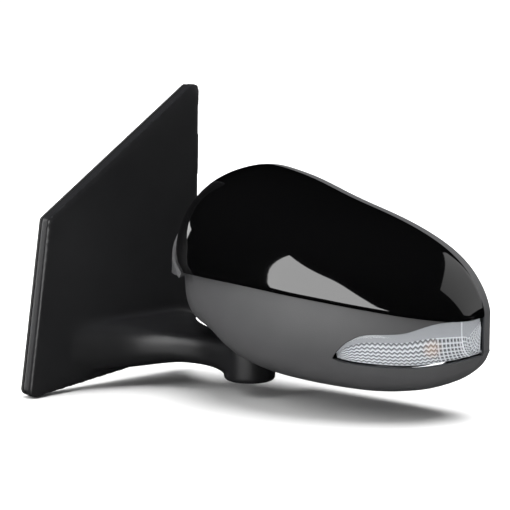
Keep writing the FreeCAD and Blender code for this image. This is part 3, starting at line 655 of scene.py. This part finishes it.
def lamp_line(u, scale, rows):
    """A line of points across the lamp, from its upper edge to its lower one."""
    first, last = lamp_turns(u, -0.6)
    if scale < 1:
        last = turn_at_rear(u, False, scale)
    line = []
    for k in range(rows + 1):
        v, w = on_shell(u, first + (last - first) * k / rows, False, scale)
        line.append(head(u, v, w))
    return line


def lamp_route():
    """Places evenly spaced along the lamp, around its outboard end: (distance, u, scale)."""
    places = [(u, 1.0) for u in lamp_columns(OPTICS_FROM, 600)]
    places += [(OUTBOARD, 1 - (1 - OPTICS_END) * k / 120) for k in range(1, 121)]
    middles = [lamp_line(u, scale, 2)[1] for u, scale in places]
    travelled = [0.0]
    for a, b in zip(middles, middles[1:]):
        travelled.append(travelled[-1] + (b - a).length / MM)
    route = []
    i = 0
    for k in range(OPTICS_COLUMNS + 1):
        wanted = travelled[-1] * k / OPTICS_COLUMNS
        while i < len(places) - 2 and travelled[i + 1] < wanted:
            i += 1
        share = (wanted - travelled[i]) / max(travelled[i + 1] - travelled[i], 1e-6)
        (u, scale), (next_u, next_scale) = places[i], places[i + 1]
        route.append((wanted, u + (next_u - u) * share, scale + (next_scale - scale) * share))
    return route


def evened(values, reach):
    """A list of directions, each averaged with its neighbours."""
    out = []
    for i in range(len(values)):
        near = values[max(i - reach, 0):i + reach + 1]
        out.append(sum(near, Vector((0, 0, 0))).normalized())
    return out


def build_optics():
    """The prisms as a sheet under the cover, each point marked with its height, from which the material paints
    shade between the prisms and a highlight on their tops.
    """
    route = lamp_route()
    skin = [lamp_line(u, scale, OPTICS_ROWS) for _, u, scale in route]
    outward = []
    for j in range(OPTICS_ROWS + 1):
        straight = []
        for i in range(OPTICS_COLUMNS + 1):
            forward = skin[min(i + 2, OPTICS_COLUMNS)][j] - skin[max(i - 2, 0)][j]
            down = skin[i][min(j + 1, OPTICS_ROWS)] - skin[i][max(j - 1, 0)]
            straight.append(down.cross(forward).normalized())
        outward.append(evened(straight, 14))
    middle = OPTICS_COLUMNS // 2
    side = math.copysign(1, outward[0][middle].dot(skin[middle][0] - HEAD_MIDDLE))
    front, back, values = [], [], []
    heights = kdtree.KDTree(2 * (OPTICS_COLUMNS + 1) * (OPTICS_ROWS + 1))
    for i, (along, _, _) in enumerate(route):
        front.append([])
        back.append([])
        for j in range(OPTICS_ROWS + 1):
            height = ridge_height(along, j / OPTICS_ROWS)
            for line, sunk in ((front[-1], FRONT_SUNK - RIDGE_RISE * height), (back[-1], BACK_SUNK)):
                line.append(skin[i][j] - outward[j][i] * (side * sunk * MM))
                heights.insert(line[-1], len(values))
                values.append(height)
    heights.balance()
    rings = [a + list(reversed(b)) for a, b in zip(front, back)]
    piece = obj_from("lens_optics", [(rings, True)], [rings[0], rings[-1]])
    mend(piece)
    # the height of each point, kept for the material's painted shade and highlight
    ridge_shade_mask = piece.data.attributes.new("ridge_shade_mask", "FLOAT", "POINT")
    for vertex, mark in zip(piece.data.vertices, ridge_shade_mask.data):
        mark.value = values[heights.find(vertex.co)[1]]
    shade(piece, 25)
    return piece


# ---------------------------------------------------------------------------------------------
# sail, arm and boss in one moulding
# ---------------------------------------------------------------------------------------------
SAIL = [(-91, -93), (72, -74), (76.3, 146.7), (-70, 44)]
SAIL_NEAR, SAIL_FAR = 2.5, 14
ARM_X = [12, 20, 34, 55, 80, 105]
arm_shape = [fair(list(zip(ARM_X, values)), span=6) for values in
             ((6, 16, 30, 40, 48, 52), (66, 52, 34, 22, 18, 20),
              (-59.5, -60.5, -61.5, -61.5, -63, -65.75), (20, 19, 15.5, 12.5, 12, 15.75))]
BOSS_RADIUS, BOSS_BOTTOM, BOSS_TOP, BOSS_EDGE = 20, -81.5, -50, 1.5
BOSS_BORE = 15.3
ARM_FROM = 9
SAIL_CORNER, SAIL_WALL = 5, 8.2
ROOT_FROM = -78  # forward of this, the sail isn't smoothed into the arm


def rounded_outline(points, radius):
    """The outline with each corner turned into an arc."""
    out = []
    for i, corner in enumerate(points):
        here = Vector(corner)
        to_before = (Vector(points[i - 1]) - here).normalized()
        to_after = (Vector(points[(i + 1) % len(points)]) - here).normalized()
        half = to_before.angle(to_after) / 2
        centre = here + (to_before + to_after).normalized() * radius / math.sin(half)
        start = here + to_before * radius / math.tan(half)
        end = here + to_after * radius / math.tan(half)
        for k in range(7):
            spoke = (start - centre).slerp(end - centre, k / 6)
            out.append(tuple(centre + spoke * radius))
    return out


def on_door(y, z, x):
    return row(x, y, z)


def build_base():
    sail = prism("base_skin", rounded_outline(SAIL, SAIL_CORNER), SAIL_NEAR, SAIL_FAR, on_door)
    modify(sail, "BEVEL", width=1.6 * MM, segments=3, limit_method="ANGLE", angle_limit=math.radians(40))
    apply_all(sail)
    rings = []
    for k in range(61):
        x = ARM_FROM + (FOLD_AXIS.x / MM - ARM_FROM) * k / 60
        y, half_width, z, half_height = (curve(x) for curve in arm_shape)
        ring = []
        for i in range(72):
            angle = 2 * math.pi * i / 72
            across = math.copysign(abs(math.cos(angle)) ** 0.5, math.cos(angle))
            up = math.copysign(abs(math.sin(angle)) ** 0.5, math.sin(angle))
            ring.append(row(x, y + half_width * across, z + half_height * up))
        rings.append(ring)
    arm = obj_from("arm", [(rings, True)], [rings[0], rings[-1]])
    levels = [(BOSS_BOTTOM, BOSS_RADIUS - BOSS_EDGE), (BOSS_BOTTOM + BOSS_EDGE, BOSS_RADIUS),
              (BOSS_TOP, BOSS_RADIUS)]
    boss_rings = [[by_axis(x, y, z) for x, y in circle(radius, 96)] for z, radius in levels]
    boss = obj_from("boss", [(boss_rings, True)], [boss_rings[0], boss_rings[-1]])
    boolean(sail, arm, "UNION")
    boolean(sail, boss, "UNION")
    discard(arm, boss)
    modify(sail, "REMESH", mode="VOXEL", voxel_size=1.1 * MM)
    modify(sail, "SMOOTH", factor=0.5, iterations=8)
    apply_all(sail)
    root = sail.vertex_groups.new(name="root")
    for vertex in sail.data.vertices:
        x, y, z = (c / MM for c in vertex.co)
        if x > SAIL_FAR - 1.5 and y > ROOT_FROM:
            weight = min(max((58 - x) / 20, 0), min((y - ROOT_FROM) / 12, 1))
            root.add([vertex.index], weight, "REPLACE")
    modify(sail, "SMOOTH", factor=0.5, iterations=70, vertex_group="root")
    apply_all(sail)
    inner = rounded_outline(inset(SAIL, SAIL_WALL), SAIL_CORNER)
    hollow = prism("hollow", inner, -1, SAIL_FAR - 2.5, on_door)
    boolean(sail, hollow, "DIFFERENCE")
    hole = prism("hole", circle(BOSS_BORE, 96), -79, -40, by_axis)
    boolean(sail, hole, "DIFFERENCE")
    discard(hollow, hole)
    shade(sail, 40)
    return sail


# ---------------------------------------------------------------------------------------------
# materials
# ---------------------------------------------------------------------------------------------
def new_material(name):
    material = bpy.data.materials.new(name)
    material.use_nodes = True
    return material, material.node_tree.nodes, material.node_tree.links


def finish_of(name, colour, shade_by, rough, rough_by, metal=0.0, coat=0.0, grain=0.0, grain_size=0.4,
              mottle_size=18.0, brushed=1.0):
    """A moulded, cast or machined finish: mottled colour, uneven gloss and a fine surface grain."""
    material, nodes, links = new_material(name)
    shader = nodes["Principled BSDF"]
    shader.inputs["Metallic"].default_value = metal
    shader.inputs["Coat Weight"].default_value = coat
    shader.inputs["Coat Roughness"].default_value = 0.02
    where = nodes.new("ShaderNodeTexCoord")
    mapping = nodes.new("ShaderNodeMapping")
    mapping.inputs["Scale"].default_value = (1, 1, brushed)
    links.new(where.outputs["Object"], mapping.inputs["Vector"])
    mottle = nodes.new("ShaderNodeTexNoise")
    mottle.inputs["Scale"].default_value = 1 / (mottle_size * MM)
    mottle.inputs["Detail"].default_value = 4
    links.new(mapping.outputs["Vector"], mottle.inputs["Vector"])
    ramp = nodes.new("ShaderNodeMix")
    ramp.data_type = "RGBA"
    ramp.inputs["A"].default_value = (*[c * (1 - shade_by) for c in colour], 1)
    ramp.inputs["B"].default_value = (*[c * (1 + shade_by) for c in colour], 1)
    links.new(mottle.outputs["Fac"], ramp.inputs["Factor"])
    links.new(ramp.outputs["Result"], shader.inputs["Base Color"])
    gloss = nodes.new("ShaderNodeMapRange")
    gloss.inputs["To Min"].default_value = rough - rough_by
    gloss.inputs["To Max"].default_value = rough + rough_by
    links.new(mottle.outputs["Fac"], gloss.inputs["Value"])
    links.new(gloss.outputs["Result"], shader.inputs["Roughness"])
    if grain:
        texture = nodes.new("ShaderNodeTexVoronoi")
        texture.feature = "SMOOTH_F1"
        texture.inputs["Scale"].default_value = 1 / (grain_size * MM)
        links.new(mapping.outputs["Vector"], texture.inputs["Vector"])
        bump = nodes.new("ShaderNodeBump")
        bump.inputs["Strength"].default_value = grain
        bump.inputs["Distance"].default_value = 0.1 * MM
        links.new(texture.outputs["Distance"], bump.inputs["Height"])
        links.new(bump.outputs["Normal"], shader.inputs["Normal"])
    return material


def clear_cover(name):
    """Clear moulded plastic: see-through, with gloss on its outer side that rises at a slant."""
    material, nodes, links = new_material(name)
    nodes.remove(nodes["Principled BSDF"])
    gloss = nodes.new("ShaderNodeBsdfGlossy")
    gloss.inputs["Roughness"].default_value = 0.03
    through = nodes.new("ShaderNodeBsdfTransparent")
    through.inputs["Color"].default_value = (0.93, 0.94, 0.95, 1)
    facing = nodes.new("ShaderNodeLayerWeight")
    facing.inputs["Blend"].default_value = 0.5
    steep = nodes.new("ShaderNodeMath")
    steep.operation = "POWER"
    steep.inputs[1].default_value = 5.0
    links.new(facing.outputs["Facing"], steep.inputs[0])
    share = nodes.new("ShaderNodeMapRange")
    share.inputs["To Min"].default_value = 0.04
    share.inputs["To Max"].default_value = 1.0
    links.new(steep.outputs["Value"], share.inputs["Value"])
    geometry = nodes.new("ShaderNodeNewGeometry")
    outside = nodes.new("ShaderNodeMath")
    outside.operation = "SUBTRACT"
    outside.inputs[0].default_value = 1.0
    links.new(geometry.outputs["Backfacing"], outside.inputs[1])
    mirrored = nodes.new("ShaderNodeMath")
    mirrored.operation = "MULTIPLY"
    links.new(share.outputs["Result"], mirrored.inputs[0])
    links.new(outside.outputs["Value"], mirrored.inputs[1])
    where = nodes.new("ShaderNodeTexCoord")
    ripple = nodes.new("ShaderNodeTexNoise")
    ripple.inputs["Scale"].default_value = 90
    links.new(where.outputs["Object"], ripple.inputs["Vector"])
    bump = nodes.new("ShaderNodeBump")
    bump.inputs["Strength"].default_value = 0.03
    bump.inputs["Distance"].default_value = 1 * MM
    links.new(ripple.outputs["Fac"], bump.inputs["Height"])
    links.new(bump.outputs["Normal"], gloss.inputs["Normal"])
    links.new(bump.outputs["Normal"], facing.inputs["Normal"])
    mix = nodes.new("ShaderNodeMixShader")
    links.new(mirrored.outputs["Value"], mix.inputs["Fac"])
    links.new(through.outputs["BSDF"], mix.inputs[1])
    links.new(gloss.outputs["BSDF"], mix.inputs[2])
    links.new(mix.outputs["Shader"], nodes["Material Output"].inputs["Surface"])
    return material


gloss_black = finish_of("gloss_black", (0.0015, 0.0015, 0.0016), 0.1, 0.06, 0.01, coat=1.0, mottle_size=60)
grained_black = finish_of("grained_black", (0.06, 0.06, 0.062), 0.08, 0.5, 0.06, grain=0.55, grain_size=0.7)
satin_black = finish_of("satin_black", (0.011, 0.011, 0.012), 0.12, 0.36, 0.05, grain=0.25, grain_size=0.5)
SLOT_FINISHES = {
    "seal_rubber": finish_of("seal_rubber", (0.02, 0.02, 0.02), 0.2, 0.75, 0.08, grain=0.3, grain_size=0.9),
    "die_cast": finish_of("die_cast", (0.55, 0.56, 0.58), 0.08, 0.42, 0.08, metal=1, grain=0.3,
                          grain_size=1.4),
    "zinc_steel": finish_of("zinc_steel", (0.62, 0.62, 0.58), 0.1, 0.3, 0.06, metal=1, mottle_size=4),
    "connector_plastic": finish_of("connector_plastic", (0.03, 0.03, 0.03), 0.1, 0.45, 0.05, grain=0.2),
    "contact_brass": finish_of("contact_brass", (0.75, 0.66, 0.45), 0.06, 0.25, 0.05, metal=1, mottle_size=3),
    "drive_steel": finish_of("drive_steel", (0.5, 0.5, 0.51), 0.06, 0.28, 0.06, metal=1, mottle_size=2,
                             brushed=12),
    "sintered_steel": finish_of("sintered_steel", (0.33, 0.33, 0.34), 0.12, 0.5, 0.08, metal=1, grain=0.4),
    "spring_steel": finish_of("spring_steel", (0.25, 0.27, 0.31), 0.1, 0.3, 0.06, metal=1, mottle_size=5),
    "gloss_black": gloss_black,
    "grained_black": grained_black,
    "arm_satin_plastic": satin_black,
    "gearbox_plastic": finish_of("gearbox_plastic", (0.07, 0.07, 0.075), 0.15, 0.5, 0.08, grain=0.3),
    "bush_polymer": finish_of("bush_polymer", (0.7, 0.68, 0.6), 0.04, 0.4, 0.05, mottle_size=8),
    "motor_can": finish_of("motor_can", (0.55, 0.55, 0.56), 0.05, 0.3, 0.06, metal=1, mottle_size=3,
                           brushed=9),
    "adjuster_plastic": finish_of("adjuster_plastic", (0.1, 0.1, 0.11), 0.12, 0.5, 0.06, grain=0.25),
    "heater_foil": finish_of("heater_foil", (0.5, 0.28, 0.12), 0.2, 0.4, 0.1, mottle_size=6),
    "mirror_glass": finish_of("mirror_glass", (0.82, 0.85, 0.88), 0.01, 0.02, 0.004, metal=1, mottle_size=80),
    "lamp_lens": clear_cover("lamp_clear"),
    "lamp_tray": finish_of("lamp_tray", (0.16, 0.16, 0.17), 0.1, 0.5, 0.05, grain=0.2),
    "reflector_chrome": finish_of("reflector_chrome", (0.85, 0.86, 0.87), 0.02, 0.1, 0.02, metal=1),
    "circuit_board": finish_of("circuit_board", (0.7, 0.7, 0.68), 0.06, 0.4, 0.05, mottle_size=5),
    "amber_led": finish_of("amber_led", (0.9, 0.4, 0.05), 0.05, 0.2, 0.03, mottle_size=2),
}


def optics_with_painted_light(name, low, high, glow_place, glow_colour):
    """Clear moulded optics with painted light: a painted highlight on the tops of the prisms, painted shade
    between them, and a warm tint over the bulbs; the colour also glows as painted glow.
    """
    material = finish_of(name, high, 0.03, 0.25, 0.04, mottle_size=3)
    nodes, links = material.node_tree.nodes, material.node_tree.links
    shader = nodes["Principled BSDF"]
    pale = shader.inputs["Base Color"].links[0].from_socket
    # painted shade and highlight: dark in the valleys between the prisms, pale on their tops, set by their height
    ridge_shade_mask = nodes.new("ShaderNodeAttribute")
    ridge_shade_mask.attribute_name = "ridge_shade_mask"
    painted_ridge_shade = nodes.new("ShaderNodeMix")
    painted_ridge_shade.data_type = "RGBA"
    painted_ridge_shade.inputs["A"].default_value = (*low, 1)
    links.new(ridge_shade_mask.outputs["Fac"], painted_ridge_shade.inputs["Factor"])
    links.new(pale, painted_ridge_shade.inputs["B"])
    where = nodes.new("ShaderNodeTexCoord")
    away = nodes.new("ShaderNodeVectorMath")
    away.operation = "DISTANCE"
    away.inputs[1].default_value = glow_place
    links.new(where.outputs["Object"], away.inputs[0])
    near = nodes.new("ShaderNodeMapRange")
    near.inputs["From Max"].default_value = 0.009
    near.inputs["To Min"].default_value = 0.35
    near.inputs["To Max"].default_value = 0.0
    links.new(away.outputs["Value"], near.inputs["Value"])
    warm = nodes.new("ShaderNodeMix")
    warm.data_type = "RGBA"
    warm.inputs["B"].default_value = (*glow_colour, 1)
    links.new(near.outputs["Result"], warm.inputs["Factor"])
    links.new(painted_ridge_shade.outputs["Result"], warm.inputs["A"])
    links.new(warm.outputs["Result"], shader.inputs["Base Color"])
    # painted glow: the optics' colour also glows, warm near the bulb, though nothing in the lamp is lit
    links.new(warm.outputs["Result"], shader.inputs["Emission Color"])
    shader.inputs["Emission Strength"].default_value = 0.12
    return material


# the optics' colour is painted light: shade between the prisms, highlight on their tops, and a glow
optics_painted_light = optics_with_painted_light("optics_clear_painted_light", (0.07, 0.07, 0.075), (0.9, 0.9, 0.91), head(168, -2, -36.5),
                               (0.9, 0.5, 0.25))

slots = {part["node"]: part["material_slot"] for part in frame["record"]["subparts"]}
for node, carried in frame["nodes"].items():
    carried.data.materials.clear()
    carried.data.materials.append(SLOT_FINISHES[slots[node]])


def place_piece(piece, material, body, slot, *nodes):
    """Gives a piece its material, its body and the CAD nodes it stands for; its slot is not used."""
    piece.data.materials.clear()
    piece.data.materials.append(material)
    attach(piece, body)
    if nodes:
        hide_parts(*nodes)


place_piece(build_cap(), gloss_black, "head", "gloss_black", "cap")
lower = build_lower()
cut_relief(lower)
seat = build_seat()
mend(lower)
join(lower, seat)
shade(lower, 35)
place_piece(lower, grained_black, "head", "grained_black", "lower_housing")
place_piece(build_bezel(), grained_black, "head", "grained_black", "rear_bezel")
place_piece(build_glass(), SLOT_FINISHES["mirror_glass"], "glass", "mirror_glass", "mirror_glass")
place_piece(build_lens(), SLOT_FINISHES["lamp_lens"], "head", "lamp_lens", "lamp_lens")
place_piece(build_optics(), optics_painted_light, "head", "reflector_chrome")
place_piece(build_base(), satin_black, "base", "arm_satin_plastic", "base_cover")

# ---------------------------------------------------------------------------------------------
# floor, light and camera
# ---------------------------------------------------------------------------------------------
FLOOR_HALF = 6
corners = ((-1, -1), (1, -1), (1, 1), (-1, 1))
floor = obj_from("floor", [], [[Vector((x, y, 0)) * FLOOR_HALF for x, y in corners]])
floor.location.z = cad_box[0].z - 1 * MM
floor.data.materials.append(finish_of("floor_pale", (0.75, 0.75, 0.75), 0.01, 0.6, 0.05, mottle_size=400))
floor.visible_glossy = False

world = bpy.data.worlds.new("studio")
bpy.context.scene.world = world
bpy.context.scene.view_settings.view_transform = "Standard"
world.use_nodes = True
sky_nodes, sky_links = world.node_tree.nodes, world.node_tree.links
backdrop = sky_nodes.new("ShaderNodeLightPath")
level = sky_nodes.new("ShaderNodeMapRange")
level.inputs["To Min"].default_value = 0.3
level.inputs["To Max"].default_value = 1.1
sky_links.new(backdrop.outputs["Is Camera Ray"], level.inputs["Value"])
sky_links.new(level.outputs["Result"], sky_nodes["Background"].inputs["Strength"])
sky_nodes["Background"].inputs["Color"].default_value = (1, 1, 1, 1)
world.cycles_visibility.glossy = False

TARGET = row(90, 70, 12)
AZIMUTH, ELEVATION = math.radians(50), math.radians(9)
DISTANCE = 1.3
FRAME_WIDTH = 0.3984  # what the frame shows at the target, in metres
SENSOR = 36


def lamp_at(name, kind, place):
    """A light of some kind at a place, turned to the target and unseen by the camera."""
    light = bpy.data.lights.new(name, kind)
    lamp = bpy.data.objects.new(name, light)
    bpy.context.scene.collection.objects.link(lamp)
    lamp.location = place
    lamp.rotation_euler = (TARGET - place).to_track_quat("-Z", "Y").to_euler()
    lamp.visible_camera = False
    return lamp, light


def broad_light(name, direction, spread, strength):
    """Even light over the whole scene from one side, which gloss does not show."""
    lamp, light = lamp_at(name, "SUN", TARGET + Vector(direction))
    light.angle = math.radians(spread)
    light.energy = strength * math.pi
    lamp.visible_glossy = False


def card_light(name, width, height, place, radiance):
    """A flat panel that only gloss shows, as a shape."""
    lamp, light = lamp_at(name, "AREA", place)
    light.shape = "RECTANGLE"
    light.size, light.size_y = width, height
    light.energy = radiance * math.pi * width * height
    lamp.visible_diffuse = False


broad_light("key", (-0.45, -0.72, 0.53), 50, 0.95)
broad_light("top", (0.05, 0.15, 0.98), 60, 2.0)
card_light("left_strip", 0.35, 0.9, TARGET + 1.3 * Vector((-0.92, -0.43, 0.1)), 3)
card_light("rear_card", 1.6, 1.2, TARGET + 1.8 * Vector((0.35, 0.85, 0.4)), 0.5)

# a three-cornered reflector, mirrored by the cap's front
panel = obj_from("panel", [], [[Vector(p) for p in ((0.165, -0.281, 0.545), (0.055, -0.6, -0.13),
                                                    (0.74, -0.364, -0.157))]])
panel.visible_camera = False
panel.visible_diffuse = False
panel.visible_shadow = False
panel_material, panel_nodes, panel_links = new_material("panel_glow")
glow = panel_nodes.new("ShaderNodeEmission")
glow.inputs["Strength"].default_value = 4.0
panel_links.new(glow.outputs["Emission"], panel_nodes["Material Output"].inputs["Surface"])
panel.data.materials.append(panel_material)

camera_data = bpy.data.cameras.new("camera")
camera_data.sensor_width = SENSOR
camera_data.lens = SENSOR * DISTANCE / FRAME_WIDTH
camera = bpy.data.objects.new("camera", camera_data)
bpy.context.scene.collection.objects.link(camera)
camera.location = TARGET + DISTANCE * Vector((math.sin(AZIMUTH) * math.cos(ELEVATION),
                                               -math.cos(AZIMUTH) * math.cos(ELEVATION), math.sin(ELEVATION)))
camera.rotation_euler = (TARGET - camera.location).to_track_quat("-Z", "Y").to_euler()
bpy.context.scene.camera = camera
